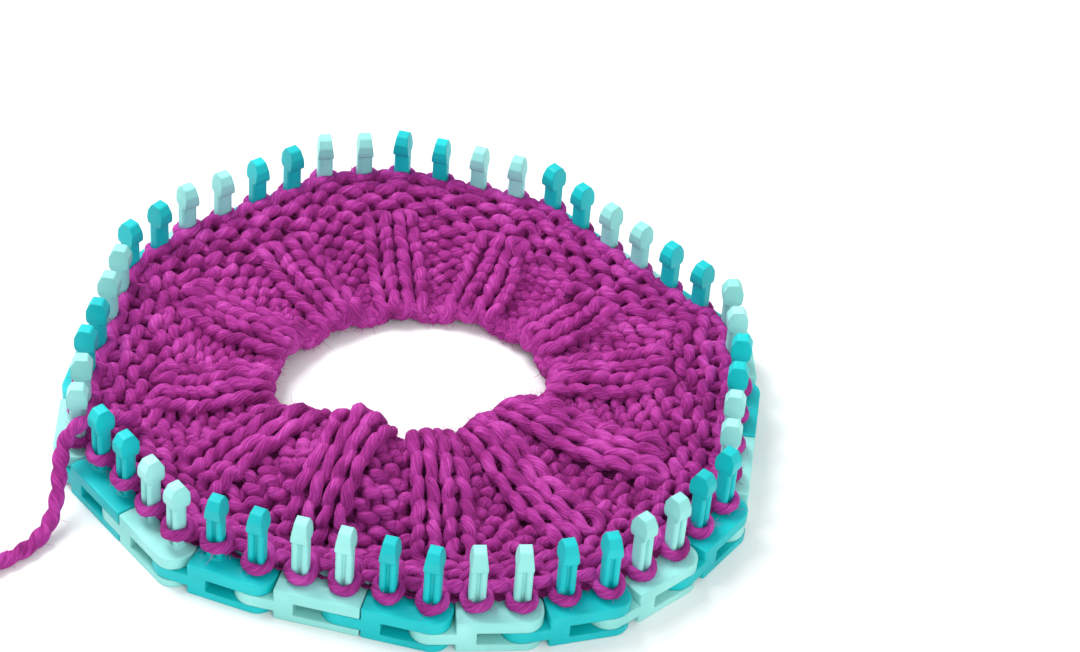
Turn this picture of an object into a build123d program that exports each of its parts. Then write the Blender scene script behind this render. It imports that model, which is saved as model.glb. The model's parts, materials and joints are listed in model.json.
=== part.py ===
"""Ring of 24 linked loom links with a piece of chunky knitting on its 48 pegs.

Every link is one moulding: a body with a fork at one end, a tongue at the other
end and two pegs on top. The tongue of a link sits in the fork of the link before
it and turns on two bosses. The knitting hangs inside the ring in 24 sectors, one
over each hinge, and the working yarn leaves the ring beside the first peg.
"""

from build123d import *
import math
import os

# Link, millimetres. Its own frame: x runs along the link from the pivot that its
# tongue turns on, y points into the ring and z up.
PITCH = 32.0  # pivot to pivot
WIDTH = 16.0
BOTTOM_PLATE = 3.5
SLOT = 5.6
TOP_PLATE = 4.9
BODY_HEIGHT = BOTTOM_PLATE + SLOT + TOP_PLATE
SLOT_DEPTH = 16.0  # back wall of the slot to the pivot
END_RADIUS = 7.0  # both corners of a rounded fork end
ROUND_END = WIDTH / 2  # pivot to the tip of a rounded fork end
SQUARE_END = 8.2  # pivot to the face of a square fork end
SHOULDER = 8.6  # pivot to the body of the link whose tongue is in the fork
SHOULDER_RADIUS = 0.8
TOP_EDGE = 0.6
BOTTOM_EDGE = 0.4

# Hinge
TONGUE_GAP = 0.2  # above and below the tongue
TONGUE_WIDTH = 15.0
BOSS_DIAMETER = 3.9
BOSS_CLEARANCE = 0.1  # on the diameter
OPEN_BOSS_CLEARANCE = 0.8  # on the diameter, at the pivot where the ring is opened
BOSS_HEIGHT = 1.6
HOLE_DIAMETER = BOSS_DIAMETER + BOSS_CLEARANCE

# Peg
PEG_INWARD = 1.5  # peg axis from the middle of the link
PEG_SPACING = PITCH / 2
SHAFT_WIDTH = 6.2
SHAFT_DEPTH = 6.0
SHAFT_CORNER = 2.3
SHAFT_HEIGHT = 18.8
GROOVE_WIDTH = 1.0
FLARE = 0.6
HEAD_HEIGHT = 9.0
HEAD_DEPTH = 7.8
HEAD_OVERHANG = 0.5
HEAD_TOP = 4.3
HEAD_EDGE = 1.1

# Bend from each link to the next in degrees, as the ring was laid by hand. The
# walk starts with link 5. The bends after links 24 and 2 close the ring.
FIRST_WALKED = 5
FIRST_HEADING = -10.0
BENDS = {
    5: 18, 6: 11, 7: 25, 8: 12, 9: 30, 10: 0, 11: 11, 12: 43, 13: 0, 14: -2,
    15: 28, 16: 4, 17: 22, 18: 26, 19: 0, 20: 16, 21: 30, 22: 0, 23: 10,
}
LINKS = 24
SQUARE_ENDED = (1, 4, 10, 13, 19, 22)  # these forks hold the next link straight
OPENED_AFTER = 4

# Knitting
YARN = 6.0
EDGE_NEAR = 4.0  # inward of the pegs
EDGE_FAR = 7.2
EDGE_BOTTOM = BODY_HEIGHT + 0.5
EDGE_TOP = BODY_HEIGHT + 6.5
HEM_CENTRE = (0.0, 8.0)
HEM_REACHES = (54, 54, 52, 48, 48, 51, 57.5, 58, 42, 43.5, 41, 38.5)  # every 30 degrees
HEM_BACK = 4.0  # height of the hem's middle at the back of the ring
HEM_FRONT = 17.0
HEM_THICKNESS = 6.5
SECTOR_GAP = 0.2  # at each side of a sector

# Working yarn: from behind the first peg, over the rim beside the last peg and down
# to the table. Heights are above the table.
TAIL_ROUTE = [
    (-98.0, -42.5, 24.5),
    (-107.0, -47.0, 29.0),
    (-115.0, -51.5, 31.0),
    (-121.5, -56.5, 28.0),
    (-123.5, -62.5, 21.0),
    (-123.0, -69.5, 13.5),
    (-123.5, -77.5, 7.0),
    (-126.5, -86.0, 3.6),
    (-132.5, -94.5, YARN / 2),
    (-142.0, -102.5, YARN / 2),
    (-153.5, -111.5, YARN / 2),
    (-166.0, -123.0, YARN / 2),
]
RUN_SHARE = 0.45
COIL_CENTRE = (-191.0, -93.0)
COIL_MIDDLE = 66.0  # diameter at the middle of its turns
COIL_ABREAST = 3
COIL_LAYERS = 2


def along(start, heading, x, y=0.0):
    """A point given in a link's own frame, as x and y of the ring."""
    c, s = math.cos(heading), math.sin(heading)
    return (start[0] + c * x - s * y, start[1] + s * x + c * y)


def walk_ring():
    """Start pivot and heading in radians of every link, by number."""
    starts, headings = {}, {}
    point, heading = (0.0, 0.0), math.radians(FIRST_HEADING)
    for number in range(FIRST_WALKED, LINKS + 1):
        starts[number], headings[number] = point, heading
        point = along(point, heading, PITCH)
        heading += math.radians(BENDS.get(number, 0))
    first = FIRST_WALKED
    starts[first - 1] = along(starts[first], headings[first], -PITCH)
    headings[first - 1] = headings[first]
    # Links 1 and 2 make one straight bar and link 3 closes the triangle.
    goal = starts[first - 1]
    reach = math.dist(point, goal)
    bar = 2 * PITCH
    cosine = (bar**2 + reach**2 - PITCH**2) / (2 * bar * reach)
    chord = math.atan2(goal[1] - point[1], goal[0] - point[0])
    straight = chord - math.acos(cosine)
    for number in (1, 2, 3):
        starts[number] = along(point, straight, PITCH * (number - 1))
        headings[number] = straight
    start = starts[3]
    headings[3] = math.atan2(goal[1] - start[1], goal[0] - start[0])
    middle = [sum(p[i] for p in starts.values()) / LINKS for i in range(2)]
    centred = {n: (p[0] - middle[0], p[1] - middle[1]) for n, p in starts.items()}
    return centred, headings


def shaft_outline():
    """Rounded shaft with two half-round ribs on its outer face and a groove between."""
    rib = (SHAFT_WIDTH - GROOVE_WIDTH) / 4
    rib_line = rib - SHAFT_DEPTH / 2
    inner_face = SHAFT_DEPTH / 2
    core = Rectangle(SHAFT_WIDTH, inner_face - rib_line)
    outline = Pos(0, (inner_face + rib_line) / 2) * core
    outline = fillet(outline.vertices().group_by(Axis.Y)[-1], SHAFT_CORNER)
    for side in (-1, 1):
        outline += Pos(side * (SHAFT_WIDTH / 2 - rib), rib_line) * Circle(rib)
    return outline


def peg_head():
    """Knob that overhangs the shaft towards both faces and narrows to a flat top."""
    lip = SHAFT_DEPTH / 2 + HEAD_OVERHANG
    bulge = HEAD_DEPTH / 2
    top = HEAD_TOP / 2
    side = Polyline(
        (-lip, 0), (-bulge, HEAD_HEIGHT * 0.3), (-bulge, HEAD_HEIGHT * 0.62), (-top, HEAD_HEIGHT),
        (top, HEAD_HEIGHT), (bulge, HEAD_HEIGHT * 0.62), (bulge, HEAD_HEIGHT * 0.3), (lip, 0),
        close=True,
    )
    side_face = fillet(make_face(side).vertices(), HEAD_EDGE)
    knob = extrude(Plane.YZ * side_face, SHAFT_WIDTH / 2, both=True)
    half = SHAFT_WIDTH / 2
    front = Polyline(
        (-half, -1), (-half, HEAD_HEIGHT * 0.25), (-top, HEAD_HEIGHT + 1),
        (top, HEAD_HEIGHT + 1), (half, HEAD_HEIGHT * 0.25), (half, -1),
        close=True,
    )
    knob &= extrude(Plane.XZ * make_face(front), HEAD_DEPTH, both=True)
    return knob


def make_peg():
    shaft = extrude(shaft_outline(), SHAFT_HEIGHT)
    wide = RectangleRounded(SHAFT_WIDTH + 2 * FLARE, SHAFT_DEPTH + 2 * FLARE, SHAFT_CORNER + FLARE)
    narrow = RectangleRounded(SHAFT_WIDTH, SHAFT_DEPTH, SHAFT_CORNER)
    foot = loft([wide, Pos(0, 0, FLARE) * narrow])
    return shaft + foot + Pos(0, 0, SHAFT_HEIGHT) * peg_head()


def body_outline(square):
    end = PITCH + (SQUARE_END if square else ROUND_END)
    outline = Pos((SHOULDER + end) / 2, 0) * Rectangle(end - SHOULDER, WIDTH)
    corners = outline.vertices().group_by(Axis.X)
    outline = fillet(corners[-1], SHOULDER_RADIUS / 2 if square else END_RADIUS)
    return fillet(outline.vertices().group_by(Axis.X)[0], SHOULDER_RADIUS)


def make_link(square, boss_diameter, peg):
    """One link in its own frame."""
    body = extrude(body_outline(square), BODY_HEIGHT)
    body = fillet(body.faces().sort_by(Axis.Z)[-1].edges(), TOP_EDGE)
    body = fillet(body.faces().sort_by(Axis.Z)[0].edges(), BOTTOM_EDGE)
    back_wall = PITCH - SLOT_DEPTH
    slot_length = SLOT_DEPTH + WIDTH
    slot = Box(slot_length, 2 * WIDTH, SLOT, align=(Align.MIN, Align.CENTER, Align.MIN))
    body -= Pos(back_wall, 0, BOTTOM_PLATE) * slot

    # The tongue's outer face is flush with the body.
    tongue_middle = (TONGUE_WIDTH - WIDTH) / 2
    tongue_height = SLOT - 2 * TONGUE_GAP
    reach = SHOULDER + 1.0
    outline = Pos(reach / 2, tongue_middle) * Rectangle(reach, TONGUE_WIDTH)
    outline += Pos(0, tongue_middle) * Circle(TONGUE_WIDTH / 2)
    outline -= Circle(HOLE_DIAMETER / 2)
    tongue = Pos(0, 0, BOTTOM_PLATE + TONGUE_GAP) * extrude(outline, tongue_height)

    boss = Cylinder(boss_diameter / 2, BOSS_HEIGHT, align=(Align.CENTER, Align.CENTER, Align.MIN))
    lower = Pos(PITCH, 0, BOTTOM_PLATE) * boss
    upper = Pos(PITCH, 0, BOTTOM_PLATE + SLOT - BOSS_HEIGHT) * boss
    link = body + tongue + lower + upper
    for x in (PEG_SPACING, 2 * PEG_SPACING):
        link += Pos(x, PEG_INWARD, BODY_HEIGHT) * peg
    return link


def hem_point(bearing):
    """Middle of the hem at a bearing from the opening's centre, in radians."""
    count = len(HEM_REACHES)
    place = bearing / (2 * math.pi) * count
    index = math.floor(place)
    share = (1 - math.cos(math.pi * (place - index))) / 2
    first, second = HEM_REACHES[index % count], HEM_REACHES[(index + 1) % count]
    reach = first + (second - first) * share
    x = HEM_CENTRE[0] + reach * math.cos(bearing)
    y = HEM_CENTRE[1] + reach * math.sin(bearing)
    front = (1 - math.sin(bearing)) / 2
    return (x, y), HEM_BACK + (HEM_FRONT - HEM_BACK) * front


def station(start, heading):
    """Vertical lines across the knitting at the middle of a link, from rim to hem."""
    near = along(start, heading, PEG_SPACING, PEG_INWARD + EDGE_NEAR)
    far = along(start, heading, PEG_SPACING, PEG_INWARD + EDGE_FAR)
    bearing = math.atan2(near[1] - HEM_CENTRE[1], near[0] - HEM_CENTRE[0])
    hem, height = hem_point(bearing)
    half = HEM_THICKNESS / 2
    return [
        (near, EDGE_BOTTOM, EDGE_TOP),
        (far, EDGE_BOTTOM, EDGE_TOP),
        (hem, height - half, height + half),
    ]


def make_sector(first, second):
    """Knitting from one station to the next, a little short at both sides."""
    sections = []
    for (a, low_a, high_a), (b, low_b, high_b) in zip(first, second):
        start, end = Vector(*a), Vector(*b)
        step = (end - start).normalized() * SECTOR_GAP
        start, end = start + step, end - step
        corners = [
            (start.X, start.Y, low_a), (end.X, end.Y, low_b),
            (end.X, end.Y, high_b), (start.X, start.Y, high_a),
        ]
        sections.append(make_face(Polyline(*corners, close=True)))
    return loft(sections, ruled=True)


def make_tail():
    """Tube of straight runs and tangent arcs."""
    points = [Vector(*p) for p in TAIL_ROUTE]
    runs = [b - a for a, b in zip(points, points[1:])]
    radii = []
    for before, after in zip(runs, runs[1:]):
        half_turn = math.radians(before.get_angle(after) / 2)
        shorter = min(before.length, after.length)
        radii.append(RUN_SHARE * shorter / math.tan(half_turn))
    path = FilletPolyline(*points, radius=radii)
    section = Plane(origin=points[0], z_dir=runs[0]) * Circle(YARN / 2)
    tube = sweep(section, path=path)
    expected = math.pi * YARN**2 / 4 * path.length
    print("tail radii", [round(r, 1) for r in radii])
    print("tail length", round(path.length, 1), "volume share", round(tube.volume / expected, 4))
    return tube


def make_coil():
    """Outer shape of the coil that the spare yarn is wound into."""
    half_width = COIL_ABREAST * YARN / 2
    height = COIL_LAYERS * YARN
    base = (Align.CENTER, Align.CENTER, Align.MIN)
    ring = Cylinder(COIL_MIDDLE / 2 + half_width, height, align=base)
    ring -= Cylinder(COIL_MIDDLE / 2 - half_width, height, align=base)
    return Pos(*COIL_CENTRE, 0) * ring


def main():
    os.makedirs("parts", exist_ok=True)
    starts, headings = walk_ring()
    peg = make_peg()
    links = {}
    for number in range(1, LINKS + 1):
        clearance = OPEN_BOSS_CLEARANCE if number == OPENED_AFTER else BOSS_CLEARANCE
        moulding = make_link(number in SQUARE_ENDED, HOLE_DIAMETER - clearance, peg)
        place = Pos(*starts[number], 0) * Rot(0, 0, math.degrees(headings[number]))
        links[number] = place * moulding
    box = Compound(children=[Compound(link.wrapped) for link in links.values()]).bounding_box()
    shift = Pos(-(box.min.X + box.max.X) / 2, -(box.min.Y + box.max.Y) / 2, 0)
    print("ring", box.size, "shift", shift.position)
    for number, link in links.items():
        colour = "teal" if number % 2 else "mint"
        export_step(shift * link, f"parts/{colour}_link_{number:02d}.step")
    for number in range(1, LINKS + 1):
        after = number % LINKS + 1
        sector = make_sector(
            station(starts[number], headings[number]), station(starts[after], headings[after])
        )
        export_step(shift * sector, f"parts/knitting_{number:02d}.step")
    export_step(shift * make_tail(), "parts/yarn_tail.step")
    export_step(shift * make_coil(), "parts/yarn_tail_coil.step")


main()
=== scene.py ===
"""Looks of the ring loom: moulded links, the knitting on their pegs and the working yarn."""

import json
import math

import bpy
import numpy as np
from mathutils import Matrix, Vector

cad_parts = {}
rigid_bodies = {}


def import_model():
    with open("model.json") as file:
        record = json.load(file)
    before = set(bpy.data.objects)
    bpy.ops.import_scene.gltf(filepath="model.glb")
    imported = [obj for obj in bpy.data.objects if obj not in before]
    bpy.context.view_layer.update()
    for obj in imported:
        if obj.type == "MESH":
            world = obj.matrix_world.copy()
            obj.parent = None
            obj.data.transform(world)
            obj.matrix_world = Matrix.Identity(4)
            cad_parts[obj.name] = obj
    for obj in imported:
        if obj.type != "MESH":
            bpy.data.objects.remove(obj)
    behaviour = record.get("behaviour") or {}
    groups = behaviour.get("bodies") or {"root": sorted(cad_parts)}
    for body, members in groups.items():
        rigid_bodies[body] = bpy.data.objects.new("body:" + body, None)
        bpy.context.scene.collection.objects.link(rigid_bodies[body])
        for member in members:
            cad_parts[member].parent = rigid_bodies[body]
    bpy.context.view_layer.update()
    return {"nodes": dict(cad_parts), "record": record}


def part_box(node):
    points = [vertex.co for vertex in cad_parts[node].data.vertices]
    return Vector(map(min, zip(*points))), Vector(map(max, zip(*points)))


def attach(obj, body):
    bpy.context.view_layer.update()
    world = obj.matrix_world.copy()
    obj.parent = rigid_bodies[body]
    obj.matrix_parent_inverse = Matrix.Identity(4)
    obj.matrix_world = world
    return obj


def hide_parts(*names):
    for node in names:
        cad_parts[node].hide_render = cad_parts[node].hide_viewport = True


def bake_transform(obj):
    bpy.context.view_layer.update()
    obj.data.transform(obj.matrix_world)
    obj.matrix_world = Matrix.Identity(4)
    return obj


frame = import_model()

MM = 0.001
UP = np.array((0.0, 0.0, 1.0))

# ---------------------------------------------------------------- the ring
LINKS = 24
PITCH = 32 * MM
PEG_INWARD = 1.5 * MM
PLATE_TOP = 14 * MM
PEG_HALF = 3.1 * MM  # half the width of a peg
FIRST_WALKED = 5  # link the ring is laid out from
FIRST_HEADING = -10.0  # degrees
BENDS = {  # turn in degrees from each link to the next
    5: 18, 6: 11, 7: 25, 8: 12, 9: 30, 10: 0, 11: 11, 12: 43, 13: 0, 14: -2,
    15: 28, 16: 4, 17: 22, 18: 26, 19: 0, 20: 16, 21: 30, 22: 0, 23: 10,
}


def along(start, heading, x, y=0.0):
    c, s = math.cos(heading), math.sin(heading)
    return np.array((start[0] + c * x - s * y, start[1] + s * x + c * y))


def walk_ring():
    """Start pivot and heading of every link, moved to where the frame has its first hinge."""
    starts, headings = {}, {}
    point, heading = np.zeros(2), math.radians(FIRST_HEADING)
    for number in range(FIRST_WALKED, LINKS + 1):
        starts[number], headings[number] = point, heading
        point = along(point, heading, PITCH)
        heading += math.radians(BENDS.get(number, 0))
    goal = along(starts[FIRST_WALKED], headings[FIRST_WALKED], -PITCH)
    starts[FIRST_WALKED - 1], headings[FIRST_WALKED - 1] = goal, headings[FIRST_WALKED]
    reach = math.dist(point, goal)
    bar = 2 * PITCH
    cosine = (bar**2 + reach**2 - PITCH**2) / (2 * bar * reach)
    straight = math.atan2(goal[1] - point[1], goal[0] - point[0]) - math.acos(cosine)
    for number in (1, 2, 3):
        starts[number] = along(point, straight, PITCH * (number - 1))
        headings[number] = straight
    headings[3] = math.atan2(goal[1] - starts[3][1], goal[0] - starts[3][0])
    hinge = next(j for j in frame["record"]["behaviour"]["joints"] if j["name"] == "hinge_05_06")
    shift = np.array(hinge["pos_m"][:2]) - starts[6]
    return {n: p + shift for n, p in starts.items()}, headings


STARTS, HEADINGS = walk_ring()
BEHAVIOUR = frame["record"]["behaviour"]
BODY_OF = {node: name for name, nodes in BEHAVIOUR["bodies"].items() for node in nodes}
JOINED = {frozenset((j["parent"], j["child"])) for j in BEHAVIOUR["joints"]}


def link_node(number):
    return f"{'teal' if number % 2 else 'mint'}_link_{number:02d}"


def link_body(number):
    return BODY_OF[link_node(number)]


def peg(index):
    """Axis of a peg and the way that faces into the ring. Peg 0 is the first on link 1."""
    number = index // 2 % LINKS + 1
    x = PITCH / 2 if index % 2 == 0 else PITCH
    heading = HEADINGS[number]
    inward = np.array((-math.sin(heading), math.cos(heading)))
    return along(STARTS[number], heading, x, PEG_INWARD), inward


# ---------------------------------------------------------------- materials
def new_material(name):
    material = bpy.data.materials.new(name)
    material.use_nodes = True
    tree = material.node_tree
    tree.nodes.clear()
    return material, tree


def node(tree, kind, **values):
    made = tree.nodes.new(kind)
    for key, value in values.items():
        if key in made.inputs:
            made.inputs[key].default_value = value
        else:
            setattr(made, key, value)
    return made


def ramp(tree, factor, stops):
    made = tree.nodes.new("ShaderNodeValToRGB")
    elements = made.color_ramp.elements
    while len(elements) < len(stops):
        elements.new(0.5)
    for element, (position, colour) in zip(elements, stops):
        element.position = position
        element.color = (*colour, 1)
    tree.links.new(factor, made.inputs["Fac"])
    return made.outputs["Color"]


def plastic(name, dark, base, light):
    """Injection-moulded plastic with a satin skin, faint flow marks and a painted highlight on the
    rounded edges.
    """
    material, tree = new_material(name)
    link = tree.links.new
    place = node(tree, "ShaderNodeTexCoord")
    flow = node(tree, "ShaderNodeTexNoise", Scale=38.0, Detail=3.0)
    link(place.outputs["Object"], flow.inputs["Vector"])
    colour = ramp(tree, flow.outputs["Fac"], [(0.3, dark), (0.5, base), (0.72, light)])
    edge = node(tree, "ShaderNodeBevel", Radius=0.0009)
    edge.samples = 4
    shape = node(tree, "ShaderNodeNewGeometry")
    bend = node(tree, "ShaderNodeVectorMath", operation="DOT_PRODUCT")
    link(edge.outputs["Normal"], bend.inputs[0])
    link(shape.outputs["Normal"], bend.inputs[1])
    # painted highlight: where the bevel normal turns away from the surface normal, the colour is mixed
    # up to 35 % towards the light tone
    edge_highlight = node(tree, "ShaderNodeMapRange")
    link(bend.outputs["Value"], edge_highlight.inputs["Value"])
    edge_highlight.inputs["From Min"].default_value = 0.97
    edge_highlight.inputs["From Max"].default_value = 0.80
    edge_highlight.inputs["To Max"].default_value = 0.35
    mix = node(tree, "ShaderNodeMix", data_type="RGBA")
    link(edge_highlight.outputs["Result"], mix.inputs["Factor"])
    link(colour, mix.inputs["A"])
    mix.inputs["B"].default_value = (*light, 1)
    rough = node(tree, "ShaderNodeTexNoise", Scale=420.0, Detail=4.0)
    link(place.outputs["Object"], rough.inputs["Vector"])
    gloss = node(tree, "ShaderNodeMapRange")
    link(rough.outputs["Fac"], gloss.inputs["Value"])
    gloss.inputs["To Min"].default_value = 0.36
    gloss.inputs["To Max"].default_value = 0.56
    bump = node(tree, "ShaderNodeBump", Strength=0.06, Distance=0.0004)
    link(rough.outputs["Fac"], bump.inputs["Height"])
    link(edge.outputs["Normal"], bump.inputs["Normal"])
    skin = node(tree, "ShaderNodeBsdfPrincipled")
    skin.inputs["Subsurface Weight"].default_value = 0.08
    skin.inputs["Specular IOR Level"].default_value = 0.3
    skin.inputs["Subsurface Radius"].default_value = (0.6, 1.0, 1.0)
    skin.inputs["Subsurface Scale"].default_value = 0.0015
    link(mix.outputs["Result"], skin.inputs["Base Color"])
    link(gloss.outputs["Result"], skin.inputs["Roughness"])
    link(bump.outputs["Normal"], skin.inputs["Normal"])
    out = node(tree, "ShaderNodeOutputMaterial")
    link(skin.outputs["BSDF"], out.inputs["Surface"])
    return material


def wool(name, dark, base, light):
    """Soft two-ply yarn: fibres that run with the twist, in tones that vary at random. UV runs along the
    yarn in metres and around it."""
    material, tree = new_material(name)
    link = tree.links.new
    uv = node(tree, "ShaderNodeUVMap")
    split = node(tree, "ShaderNodeSeparateXYZ")
    link(uv.outputs["UV"], split.inputs["Vector"])
    lay = node(tree, "ShaderNodeMath", operation="MULTIPLY")
    link(split.outputs["Y"], lay.inputs[0])
    lay.inputs[1].default_value = 2 * math.pi
    around = node(tree, "ShaderNodeMath", operation="COSINE")
    link(lay.outputs[0], around.inputs[0])
    aside = node(tree, "ShaderNodeMath", operation="SINE")
    link(lay.outputs[0], aside.inputs[0])
    fibre_place = node(tree, "ShaderNodeCombineXYZ")
    link(around.outputs[0], fibre_place.inputs["X"])
    link(aside.outputs[0], fibre_place.inputs["Y"])
    link(split.outputs["X"], fibre_place.inputs["Z"])
    spread = node(tree, "ShaderNodeVectorMath", operation="MULTIPLY")
    link(fibre_place.outputs["Vector"], spread.inputs[0])
    spread.inputs[1].default_value = (4.2, 4.2, 160.0)
    fibres = node(tree, "ShaderNodeTexNoise", Scale=1.0, Detail=5.0, Roughness=0.62)
    link(spread.outputs["Vector"], fibres.inputs["Vector"])
    place = node(tree, "ShaderNodeTexCoord")
    patch = node(tree, "ShaderNodeTexNoise", Scale=95.0, Detail=3.0)
    link(place.outputs["Object"], patch.inputs["Vector"])
    blend = node(tree, "ShaderNodeMix", data_type="FLOAT")
    blend.inputs["Factor"].default_value = 0.42
    link(fibres.outputs["Fac"], blend.inputs["A"])
    link(patch.outputs["Fac"], blend.inputs["B"])
    colour = ramp(tree, blend.outputs["Result"], [(0.36, dark), (0.5, base), (0.65, light)])
    fine = node(tree, "ShaderNodeTexNoise", Scale=1500.0, Detail=2.0)
    link(place.outputs["Object"], fine.inputs["Vector"])
    height = node(tree, "ShaderNodeMath", operation="MULTIPLY_ADD")
    link(fine.outputs["Fac"], height.inputs[0])
    height.inputs[1].default_value = 0.35
    link(fibres.outputs["Fac"], height.inputs[2])
    bump = node(tree, "ShaderNodeBump", Strength=0.8, Distance=0.0008)
    link(height.outputs[0], bump.inputs["Height"])
    skin = node(tree, "ShaderNodeBsdfPrincipled")
    skin.inputs["Roughness"].default_value = 0.9
    skin.inputs["Specular IOR Level"].default_value = 0.2
    skin.inputs["Sheen Weight"].default_value = 0.3
    skin.inputs["Sheen Roughness"].default_value = 0.45
    skin.inputs["Sheen Tint"].default_value = (*light, 1)
    link(colour, skin.inputs["Base Color"])
    link(bump.outputs["Normal"], skin.inputs["Normal"])
    out = node(tree, "ShaderNodeOutputMaterial")
    link(skin.outputs["BSDF"], out.inputs["Surface"])
    return material


TEAL = plastic("teal_plastic", (0.0, 0.43, 0.46), (0.0, 0.50, 0.53), (0.005, 0.58, 0.60))
MINT = plastic("mint_plastic", (0.24, 0.64, 0.60), (0.29, 0.71, 0.67), (0.37, 0.80, 0.76))
YARN = wool("purple_wool", (0.14, 0.007, 0.088), (0.36, 0.026, 0.25), (0.64, 0.09, 0.49))
# painted shade: a darker copy of the purple wool, for the backing seen between the stitches
SHADE = wool("purple_wool_painted_shade", (0.07, 0.004, 0.045), (0.15, 0.010, 0.10), (0.24, 0.02, 0.17))

for number in range(1, LINKS + 1):
    moulding = frame["nodes"][link_node(number)]
    slots = moulding.material_slots
    if not slots:
        moulding.data.materials.append(None)
    for place in moulding.material_slots:
        place.material = TEAL if number % 2 else MINT


# ---------------------------------------------------------------- yarn as mesh
def unit(rows):
    return rows / np.maximum(np.linalg.norm(rows, axis=-1, keepdims=True), 1e-12)


def resample(points, step):
    gaps = np.linalg.norm(np.diff(points, axis=0), axis=1)
    run = np.concatenate(([0], np.cumsum(gaps)))
    count = max(4, int(round(run[-1] / step)) + 1)
    even = np.linspace(0, run[-1], count)
    return np.stack([np.interp(even, run, points[:, i]) for i in range(3)], 1)


def tube_arrays(points, radius, turns, sides=10, lobe=0.2, flat=1.0, closed=False, spare=0):
    """Rings of a twisted two-ply strand round a line of points. turns is the twist at
    every point, flat squeezes the strand sideways, and spare points at both ends only
    steer the ends. Returns vertices, quads, the UV of every quad corner and end caps."""
    if closed:
        tangent = unit(np.roll(points, -1, 0) - np.roll(points, 1, 0))
        gaps = np.linalg.norm(np.roll(points, -1, 0) - points, axis=1)
    else:
        tangent = unit(np.gradient(points, axis=0))
        gaps = np.linalg.norm(np.diff(points, axis=0), axis=1)
    run = np.concatenate(([0], np.cumsum(gaps)))
    radius = np.broadcast_to(radius, (len(points),))
    if spare:
        keep = slice(spare, -spare)
        points, tangent, radius = points[keep], tangent[keep], radius[keep]
        run, turns = run[keep], turns[keep]
    count = len(points)
    side = unit(np.cross(tangent, UP + 1e-6))
    over = np.cross(side, tangent)
    angle = np.linspace(0, 2 * math.pi, sides, endpoint=False)
    ply = np.abs(np.cos(angle[None, :] - turns[:, None]))
    reach = radius[:, None] * (1 - lobe + 1.5 * lobe * ply)
    ring = (
        points[:, None, :]
        + side[:, None, :] * (np.cos(angle)[None, :] * reach)[..., None]
        + over[:, None, :] * (np.sin(angle)[None, :] * reach * flat)[..., None]
    )
    vertices = ring.reshape(-1, 3)
    spans = count if closed else count - 1
    i, j = np.meshgrid(np.arange(spans), np.arange(sides), indexing="ij")
    n, k = (i + 1) % count, (j + 1) % sides
    corners = [i * sides + k, n * sides + k, n * sides + j, i * sides + j]
    quads = np.stack(corners, -1).reshape(-1, 4)[:, ::-1]
    spin = turns / (2 * math.pi)
    last = spin[0] + round(spin[-1] - spin[0] + 1e-6) if closed else spin[-1]
    s0, s1 = spin[i], np.where(n == 0, last, spin[n])
    a0, a1 = run[i], run[i + 1]
    b0, b1 = j / sides, (j + 1) / sides
    around = [(a0, b0 - s0), (a1, b0 - s1), (a1, b1 - s1), (a0, b1 - s0)]
    uv = np.stack([np.stack(pair, -1) for pair in around], 2).reshape(-1, 4, 2)
    caps = [] if closed else [
        list(range(sides)),
        list(range(len(vertices) - 1, len(vertices) - sides - 1, -1)),
    ]
    return vertices, quads, uv, caps


FUZZ_PER_SECTOR = 2400
FUZZ_PER_LOOP = 60
FUZZ_WIDTH = 0.08 * MM  # half the width of a loose fibre at its root
FUZZ_LENGTHS = (1.0, 3.2)  # mm
FUZZ_JOINTS = 5
FUZZ_LOWEST = 0.3 * MM  # over the table
LOOP_SIDES = 12


def fuzz(strands, count, seed):
    """Loose fibres that stand off the yarn, as thin curling ribbons."""
    rng = np.random.default_rng(seed)
    rings = np.concatenate([strand[0] for strand in strands])
    sides = [len(strand[3][0]) if strand[3] else LOOP_SIDES for strand in strands]
    hubs = np.concatenate([
        np.repeat(strand[0].reshape(-1, n, 3).mean(1), n, axis=0) for strand, n in zip(strands, sides)
    ])
    pick = rng.integers(0, len(rings), count)
    start = rings[pick]
    out = unit(start - hubs[pick])
    start = start - out * 0.3 * MM
    way = unit(out * rng.uniform(0.15, 0.9, (count, 1)) + unit(rng.normal(size=(count, 3))))
    curl = unit(rng.normal(size=(count, 3))) * rng.uniform(0.6, 1.6, (count, 1))
    length = rng.uniform(*FUZZ_LENGTHS, (count, 1)) * MM
    step = np.linspace(0, 1, FUZZ_JOINTS)
    spine = np.stack([start + (way * s + curl * s * s * 0.7 + out * 0.25 * s) * length for s in step], 1)
    spine[..., 2] = np.maximum(spine[..., 2], FUZZ_LOWEST)
    across = unit(np.cross(way, curl + 1e-6))[:, None, :]
    taper = (1 - 0.7 * step)[None, :, None]
    sides_xyz = np.stack([spine + across * FUZZ_WIDTH * taper, spine - across * FUZZ_WIDTH * taper], 2)
    vertices = sides_xyz.reshape(-1, 3)
    i, j = np.meshgrid(np.arange(count), np.arange(FUZZ_JOINTS - 1), indexing="ij")
    a = (i * FUZZ_JOINTS + j) * 2
    quads = np.stack([a, a + 1, a + 3, a + 2], -1).reshape(-1, 4)
    tone = rng.uniform(0, 3, (count, 1, 1, 1)) + np.zeros((count, FUZZ_JOINTS - 1, 4, 1))
    uv = np.concatenate([tone, tone * 1.7], -1).reshape(-1, 4, 2)
    return vertices, quads, uv, []


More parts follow.
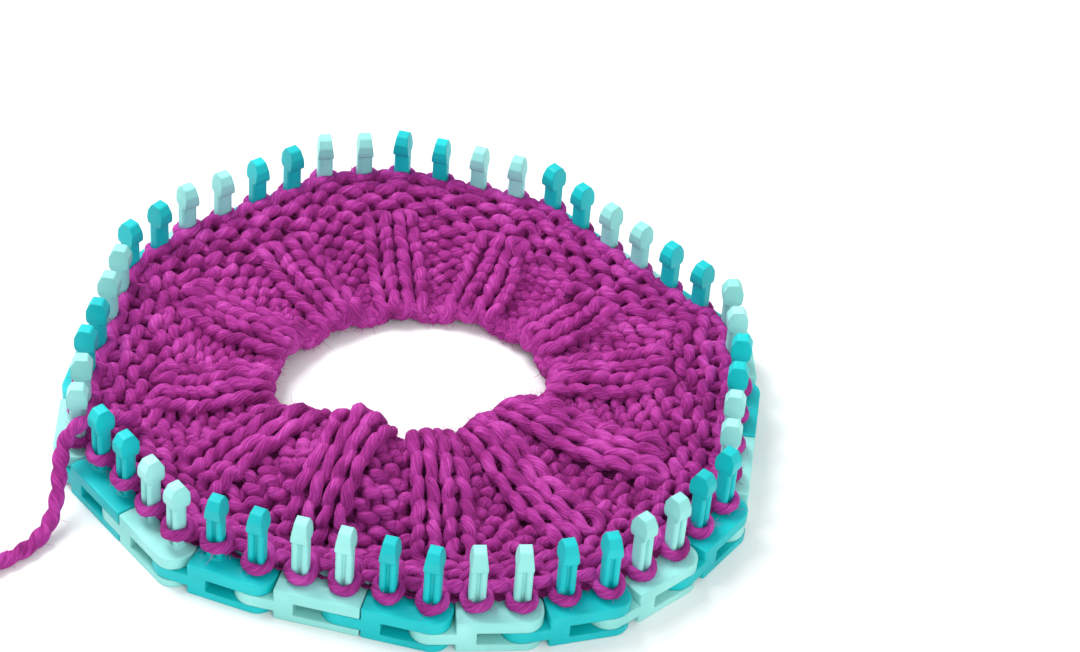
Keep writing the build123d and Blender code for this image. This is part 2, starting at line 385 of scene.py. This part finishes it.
def yarn_mesh(name, strands, material):
    """One object from several strands, each the result of tube_arrays."""
    vertices, faces, uvs, base = [], [], [], 0
    for points, quads, uv, caps in strands:
        vertices.append(points)
        faces += (quads + base).tolist()
        uvs += uv.reshape(-1, 2).tolist()
        for cap in caps:
            faces.append([c + base for c in cap])
            uvs += [(0.0, 0.0)] * len(cap)
        base += len(points)
    mesh = bpy.data.meshes.new(name)
    mesh.from_pydata(np.concatenate(vertices).tolist(), [], faces)
    layer = mesh.uv_layers.new(name="yarn")
    layer.data.foreach_set("uv", np.array(uvs, dtype=np.float32).ravel())
    mesh.polygons.foreach_set("use_smooth", np.ones(len(faces), dtype=bool))
    mesh.materials.append(material)
    made = bpy.data.objects.new(name, mesh)
    bpy.context.scene.collection.objects.link(made)
    return made


# ---------------------------------------------------------------- the knitting
COLUMNS = 2 * LINKS
BAND_ROWS = 3  # all purl, next to the pegs
ROWS = 10
RIB_EVERY = 4  # two knit columns, then two purl
RIB_SHIFT = 0.5  # puts the knit pairs under the pegs of the teal links
HEM_CENTRE = np.array((-0.08, 4.53)) * MM
HEM_REACHES = (54, 54, 52, 48, 48, 51, 57.5, 58, 42, 43.5, 41, 38.5)  # every 30 degrees
HEM_BACK, HEM_FRONT = 4.0, 15.0  # mm over the table
FOLD_MIDDLE, FOLD_WIDTH = 5.5, 7.0  # columns of the fold that stands up at the front left
EDGE_SHARE = 0.2  # of the fabric's length, over which it swells out between the pegs
EDGE_SCALLOP = 5.5 * MM

PEGS = [peg(i) for i in range(COLUMNS)]


def smooth(x):
    x = np.clip(x, 0, 1)
    return x * x * (3 - 2 * x)


def bump_at(x, middle, width):
    """1 at the middle of a stretch of columns, falling to 0 at width on both sides."""
    away = np.abs((x - middle + COLUMNS / 2) % COLUMNS - COLUMNS / 2)
    return smooth(1 - away / width)


def cubic(p0, p1, p2, p3, t):
    bend = 2 * p0 - 5 * p1 + 4 * p2 - p3
    return p1 + 0.5 * t * (p2 - p0 + t * (bend + t * (3 * (p1 - p2) + p3 - p0)))


def periodic(values, c):
    """Smooth periodic interpolation of one value per column."""
    count = len(values)
    c = np.asarray(c) % count
    i = np.floor(c).astype(int)
    t = (c - i)[..., None]
    return cubic(*(values[(i + k) % count] for k in (-1, 0, 1, 2)), t)


def hem_at(bearing):
    reaches = np.array(HEM_REACHES, float)[:, None]
    reach = float(periodic(reaches, bearing / (2 * math.pi) * len(HEM_REACHES))[0]) * MM
    return HEM_CENTRE + reach * np.array((math.cos(bearing), math.sin(bearing)))


def wale_controls():
    """Control points of the fabric under each peg, from the peg to the hem."""
    table = []
    for index, (axis, inward) in enumerate(PEGS):
        bearing = math.atan2(axis[1] - HEM_CENTRE[1], axis[0] - HEM_CENTRE[0])
        hem = hem_at(bearing)
        way = unit((hem - axis)[None])[0]
        near = unit((way + inward)[None])[0]
        reach = np.linalg.norm(hem - axis)
        front = (1 - math.sin(bearing)) / 2
        fold = float(bump_at(index, FOLD_MIDDLE, FOLD_WIDTH))
        hem_height = HEM_BACK + (HEM_FRONT - HEM_BACK) * front
        rib = -math.cos(2 * math.pi * (index + RIB_SHIFT) / RIB_EVERY)
        lump = fold * math.sin(index * 1.9 + 0.6)
        crest = 11.5 - 2 * front + 13 * fold + 3 * lump + 1.4 * rib
        spots = [
            (axis + inward * 5.0 * MM, 21.5 - 3.0 * front),
            (axis + near * 11 * MM, 22.0 - 3.5 * front - 6 * fold),
            (axis + way * (27 - 3 * fold) * MM, 19.0 - 6.5 * front - 6 * fold),
            (axis + way * (reach * (0.62 - 0.08 * fold)), crest),
            (axis + way * (reach - (9 + 3 * lump) * MM), hem_height + 1.5 + 10 * fold + 2.0 * rib),
            (hem, hem_height + fold + 1.5 * rib),
        ]
        table.append([(*xy, z * MM) for xy, z in spots])
    return np.array(table)


CONTROLS = wale_controls()
OUTWARD = np.array([-inward for _, inward in PEGS])
WALE_KNOTS = np.array((0.0, 0.11, 0.33, 0.61, 0.88, 1.0))


def spread_columns(c, share):
    """Knit columns take more of the width than purl ones further down the ribs."""
    period = (c + RIB_SHIFT) / RIB_EVERY
    whole = np.floor(period)
    within = (period - whole) * RIB_EVERY - 2.0
    wide = np.interp(share, (0.33, 0.45, 1.0), (1.0, 1.05, 1.36))
    outer = wide + (np.abs(within) - 1) * (2.0 - wide)
    moved = np.where(np.abs(within) <= 1, within * wide, np.sign(within) * outer)
    return whole * RIB_EVERY + moved + 2.0 - RIB_SHIFT


def surface(c, r):
    """Point of the fabric at column c and row r."""
    c, r = np.broadcast_arrays(np.asarray(c, float), np.asarray(r, float))
    share = np.clip(r / ROWS, 0, 1)
    c = spread_columns(c, share)
    points = [periodic(CONTROLS[:, k], c) for k in range(len(WALE_KNOTS))]
    points = [2 * points[0] - points[1]] + points + [2 * points[-1] - points[-2]]
    out = np.zeros(c.shape + (3,))
    for k, (low, high) in enumerate(zip(WALE_KNOTS, WALE_KNOTS[1:])):
        t = np.clip((share - low) / (high - low), 0, 1)[..., None]
        inside = (share >= low) & (share <= high)
        out = np.where(inside[..., None], cubic(*points[k:k + 4], t), out)
    edge = np.clip(1 - share / EDGE_SHARE, 0, 1) ** 1.5 * np.sin(np.pi * c) ** 2
    out[..., :2] += periodic(OUTWARD, c) * (EDGE_SCALLOP * edge)[..., None]
    past = np.maximum(r - ROWS, 0)[..., None]
    return out + past * 7 * MM * unit(points[-2] - points[-3])


def frame_at(c, r):
    point = surface(c, r)
    across = unit(surface(c + 0.05, r) - surface(c - 0.05, r))
    down = unit(surface(c, r + 0.05) - surface(c, r - 0.05))
    return point, unit(np.cross(across, down))


def knit_sign(c):
    """1 over the knit columns of the ribs and -1 over the purl ones."""
    within = ((np.asarray(c) + RIB_SHIFT) % RIB_EVERY) - 2.0
    return np.clip((1.0 - np.abs(within)) / 0.16, -1, 1)


def unevenness(c, row):
    """Hand-made differences from stitch to stitch, the same on both sides of a sector's edge."""
    turn = 2 * math.pi * c / COLUMNS
    waves = np.sin(13 * turn + 2.3 * row) + 0.7 * np.sin(29 * turn + 4.1 * row)
    waves = waves + 0.5 * np.sin(47 * turn - row)
    return waves / 2.2


SAMPLES = 26  # points of a strand along one stitch
STRAND_CLEAR = 3.2 * MM  # middle of a strand that lies on the table


def above_table(points, least):
    """The same points, none lower than least over the table."""
    points[..., 2] = np.maximum(points[..., 2], least)
    return points


def course(row, first, last):
    """Centre line of one course of stitches between two columns, with a spare point at
    both ends, and the twist along it. Course -1 is only the bars between the pegs."""
    count = int(round((last - first) * SAMPLES)) + 3
    c = first + (np.arange(count) - 1) / SAMPLES
    t = 2 * math.pi * c
    band = row < BAND_ROWS
    sign = np.full(count, -1.0) if band else knit_sign(c)
    knit = (sign + 1) / 2
    rise = 0.74
    wave = np.sin(0.5 * math.pi * np.cos(t)) * (1 - knit) + np.cos(t) * knit
    lean = 0.07 * (1 - knit) + 0.15 * knit
    level = np.maximum(row + 0.72 - rise * wave + 0.07 * unevenness(c, row), 0)
    point, normal = frame_at(c + lean * np.sin(2 * t) + 0.02 * unevenness(c, row + 7), level)
    swell = np.sin(0.5 * math.pi * np.cos(2 * t)) * (1 - knit) + np.cos(2 * t) * knit
    lift = (1.6 + 0.5 * knit) * MM
    height = -sign * swell * lift + 0.45 * MM * unevenness(c, row + 3)
    height = height + (2.4 * knit - (0.0 if band else 1.0) * (1 - knit)) * MM
    if row < 0:
        height = height - 3.0 * MM * np.cos(t / 2) ** 8
    turns = 2 * math.pi * c * 1.6 + row * 1.9
    return above_table(point + normal * height[:, None], STRAND_CLEAR), turns


def cast_on(first, last):
    """Twisted edge of the hem."""
    count = int(round((last - first) * SAMPLES)) + 3
    c = first + (np.arange(count) - 1) / SAMPLES
    t = 2 * math.pi * c
    point, normal = frame_at(c + 0.06 * np.sin(2 * t), ROWS + 0.10 + 0.22 * np.cos(2 * t + 0.6))
    lift = (1.6 * np.sin(2 * t) + 0.8 * unevenness(c, 20) + 1.2 * (knit_sign(c) + 1) / 2) * MM
    return above_table(point + normal * lift[:, None], STRAND_CLEAR), 2 * math.pi * c * 1.4


def backing(number, first, last):
    """The fabric behind the stitches, which closes what shows between them, coloured in darker wool as
    painted shade.
    """
    c, r = np.meshgrid(np.linspace(first, last, 13), np.linspace(0.0, ROWS + 0.1, 31), indexing="ij")
    point, normal = frame_at(c, r)
    cloth = above_table(point - normal * 2.4 * MM, 0.4 * MM)
    across, down = cloth.shape[:2]
    i, j = np.meshgrid(np.arange(across - 1), np.arange(down - 1), indexing="ij")
    faces = np.stack([i * down + j, (i + 1) * down + j, (i + 1) * down + j + 1, i * down + j + 1], -1)
    mesh = bpy.data.meshes.new(f"fabric_{number:02d}")
    mesh.from_pydata(cloth.reshape(-1, 3).tolist(), [], faces.reshape(-1, 4).tolist())
    mesh.polygons.foreach_set("use_smooth", np.ones(len(mesh.polygons), dtype=bool))
    layer = mesh.uv_layers.new(name="yarn")
    flat = np.stack([c * 8 * MM, r / 3], -1).reshape(-1, 2)
    loops = np.empty(len(mesh.loops), dtype=np.int32)
    mesh.loops.foreach_get("vertex_index", loops)
    layer.data.foreach_set("uv", flat[loops].astype(np.float32).ravel())
    # the backing wears the darker wool of painted shade
    mesh.materials.append(SHADE)
    made = bpy.data.objects.new(mesh.name, mesh)
    bpy.context.scene.collection.objects.link(made)
    return made


def sector(number):
    """Stitches and backing over the hinge after a link."""
    first, last = 2 * number - 2.0, 2 * number
    strands = []
    for row in range(-1, ROWS):
        line, turns = course(row, first, last)
        radius = (2.35 + 0.14 * unevenness(turns / 4, row)) * MM
        strands.append(tube_arrays(line, radius, turns, lobe=0.16, spare=1))
    line, turns = cast_on(first, last)
    strands.append(tube_arrays(line, 2.4 * MM, turns, spare=1))
    strands.append(fuzz(strands, FUZZ_PER_SECTOR, number))
    stitches = yarn_mesh(f"stitches_{number:02d}", strands, YARN)
    fabric = backing(number, first, last)
    here, after = link_body(number), link_body(number % LINKS + 1)
    top, bottom = surface(2 * number - 1.0, 0.0), surface(2 * number - 1.0, ROWS)
    for piece in (stitches, fabric):
        if frozenset((here, after)) in JOINED:
            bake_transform(piece)
        else:
            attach(piece, here)
    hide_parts(f"knitting_{number:02d}")


HIGH_LOOPS = 5  # loops of the round just begun, which sit high on their pegs


def peg_loop(index):
    """The last stitch, held round a peg."""
    axis, inward = PEGS[index]
    side = np.array((inward[1], -inward[0]))
    back = (1 + math.sin(math.atan2(axis[1], axis[0]))) / 2
    raised = 7.2 + 0.4 * math.sin(index * 2.2)
    rest = 3.2 + 3.6 * back ** 2 + 0.5 * math.sin(index * 2.6)
    centre_z = PLATE_TOP + (raised if index < HIGH_LOOPS else rest) * MM
    turn = np.linspace(0, 2 * math.pi, 40, endpoint=False)
    half_wide, half_deep = PEG_HALF + 1.45 * MM, PEG_HALF + 1.5 * MM
    xy = axis + np.outer(np.cos(turn) * half_wide, side) + np.outer(np.sin(turn) * half_deep, inward)
    tilt = 0.7 * MM * np.sin(turn) + 0.35 * MM * np.sin(2 * turn + index)
    points = np.column_stack([xy, centre_z + tilt])
    loop = tube_arrays(
        points, 1.6 * MM, turn * 2 + index, sides=LOOP_SIDES, lobe=0.14, flat=1.5, closed=True
    )
    return [loop, fuzz([loop], FUZZ_PER_LOOP, 100 + index)]


for number in range(1, LINKS + 1):
    sector(number)
    loops = yarn_mesh(
        f"peg_loops_{number:02d}", peg_loop(2 * number - 2) + peg_loop(2 * number - 1), YARN
    )
    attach(loops, link_body(number))

# ---------------------------------------------------------------- the working yarn
TWIST_LENGTH = 15 * MM
FUZZ_ON_TAIL = 2600
YARN_STEP = 0.9 * MM
COIL_CENTRE = (-191.0, -93.0)
COIL_HALF = 42 * MM
COIL_RADII = (39.0, 33.0, 27.0)
COIL_TURN_POINTS = 14
LOWER, UPPER = 3.0, 9.0  # heights of the two layers of the coil
SHIFT = np.array(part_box("yarn_tail_coil")[0])[:2] + COIL_HALF - np.array(COIL_CENTRE) * MM
TAIL_ROUTE = [  # mm, from behind the first peg down to the table
    (-98.0, -42.5, 24.5),
    (-107.0, -47.0, 29.0),
    (-115.0, -51.5, 31.0),
    (-121.5, -56.5, 28.0),
    (-123.5, -62.5, 21.0),
    (-123.0, -69.5, 13.5),
    (-123.5, -77.5, 7.0),
    (-126.5, -86.0, 3.6),
    (-132.5, -94.5, 3.0),
    (-142.0, -102.5, 3.0),
    (-153.5, -111.5, 3.0),
    (-166.0, -123.0, 3.0),
]


def coil_points():
    """Turns of the spare yarn, inwards on the table and outwards on top of them."""
    spots = []
    wide, middle, tight = COIL_RADII
    turns = [(wide, middle, LOWER), (middle, tight, LOWER), (tight, tight, LOWER)]
    turns += [(tight, middle, UPPER), (middle, wide, UPPER), (wide, wide - 2.0, UPPER)]
    angle = math.atan2(TAIL_ROUTE[-1][1] - COIL_CENTRE[1], TAIL_ROUTE[-1][0] - COIL_CENTRE[0])
    step = 2 * math.pi / COIL_TURN_POINTS
    last_height = LOWER
    for start, end, height in turns:
        for k in range(COIL_TURN_POINTS):
            angle -= step
            share = (k + 1) / COIL_TURN_POINTS
            radius = start + (end - start) * share
            climb = min(1.0, share * 3.0)
            z = last_height + (height - last_height) * climb
            x = COIL_CENTRE[0] + radius * math.cos(angle)
            y = COIL_CENTRE[1] + radius * math.sin(angle)
            spots.append((x, y, z))
        last_height = height
    return spots


def make_tail():
    """The working yarn: one smooth line down to the table and round the coil."""
    route = bpy.data.curves.new("tail_route", "CURVE")
    route.dimensions = "3D"
    route.resolution_u = 12
    spline = route.splines.new("NURBS")
    points = [
        (x * MM + SHIFT[0], y * MM + SHIFT[1], z * MM) for x, y, z in TAIL_ROUTE + coil_points()
    ]
    spline.points.add(len(points) - 1)
    for place, point in zip(spline.points, points):
        place.co = (*point, 1)
    spline.order_u = 3
    spline.use_endpoint_u = True
    guide = bpy.data.objects.new("tail_route", route)
    bpy.context.scene.collection.objects.link(guide)
    bpy.context.view_layer.update()
    line = bpy.data.meshes.new_from_object(guide)
    path = np.array([v.co for v in line.vertices])
    bpy.data.objects.remove(guide)
    bpy.data.meshes.remove(line)
    even = resample(path, YARN_STEP)
    run = np.arange(len(even)) * YARN_STEP
    turns = 2 * math.pi * run / TWIST_LENGTH
    strand = tube_arrays(even, (2.75 + 0.12 * np.sin(run * 210)) * MM, turns, sides=18, lobe=0.27)
    tail = yarn_mesh("working_yarn", [strand], YARN)
    fibres = yarn_mesh("working_yarn_fibres", [fuzz([strand], FUZZ_ON_TAIL, 77)], YARN)
    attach(fibres, link_body(1))
    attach(tail, link_body(1))
    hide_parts("yarn_tail", "yarn_tail_coil")


make_tail()


# ---------------------------------------------------------------- studio
FLOOR_HALF = 3.0
LENS = 103.18
CAMERA_PLACE = (45.26, -867.55, 802.65)  # mm
CAMERA_DOWN, CAMERA_ROLL = 40.94, 5.13  # degrees


def floor():
    mesh = bpy.data.meshes.new("floor")
    corners = [(-1, -1), (1, -1), (1, 1), (-1, 1)]
    mesh.from_pydata([(x * FLOOR_HALF, y * FLOOR_HALF, 0) for x, y in corners], [], [(0, 1, 2, 3)])
    material, tree = new_material("pale_floor")
    place = node(tree, "ShaderNodeTexCoord")
    grain = node(tree, "ShaderNodeTexNoise", Scale=3.0)
    tree.links.new(place.outputs["Object"], grain.inputs["Vector"])
    colour = ramp(tree, grain.outputs["Fac"], [(0.3, (0.90, 0.90, 0.90)), (0.7, (0.92, 0.92, 0.92))])
    skin = node(tree, "ShaderNodeBsdfPrincipled", Roughness=0.8)
    skin.inputs["Specular IOR Level"].default_value = 0.1
    tree.links.new(colour, skin.inputs["Base Color"])
    out = node(tree, "ShaderNodeOutputMaterial")
    tree.links.new(skin.outputs["BSDF"], out.inputs["Surface"])
    mesh.materials.append(material)
    made = bpy.data.objects.new("floor", mesh)
    bpy.context.scene.collection.objects.link(made)


def area_light(name, place, target, size, power):
    light = bpy.data.lights.new(name, "AREA")
    light.shape = "DISK"
    light.size = size
    light.energy = power
    made = bpy.data.objects.new(name, light)
    made.location = place
    way = Vector(target) - Vector(place)
    made.rotation_euler = way.to_track_quat("-Z", "Y").to_euler()
    bpy.context.scene.collection.objects.link(made)


def world():
    sky = bpy.data.worlds.new("studio")
    sky.use_nodes = True
    ground = sky.node_tree.nodes["Background"]
    ground.inputs["Color"].default_value = (1, 1, 1, 1)
    ground.inputs["Strength"].default_value = 0.75
    bpy.context.scene.world = sky


def camera():
    lens = bpy.data.cameras.new("camera")
    lens.lens = LENS
    lens.sensor_width = 36.0
    lens.sensor_fit = "HORIZONTAL"
    lens.clip_start, lens.clip_end = 0.01, 20
    made = bpy.data.objects.new("camera", lens)
    down, roll = math.radians(CAMERA_DOWN), math.radians(CAMERA_ROLL)
    x, y, z = (value * MM for value in CAMERA_PLACE)
    place = Vector((x + SHIFT[0], y + SHIFT[1], z))
    way = Vector((0, math.cos(down), -math.sin(down)))
    turn = way.to_track_quat("-Z", "Y").to_matrix() @ Matrix.Rotation(roll, 3, "Z")
    made.matrix_world = Matrix.Translation(place) @ turn.to_4x4()
    bpy.context.scene.collection.objects.link(made)
    bpy.context.scene.camera = made


floor()
world()
area_light("key", (-0.55, 0.35, 1.0), (0, 0, 0), 0.7, 13)
area_light("front", (0.5, -1.1, 0.9), (0, 0, 0), 1.0, 7)
camera()
bpy.context.scene.view_settings.view_transform = "Standard"
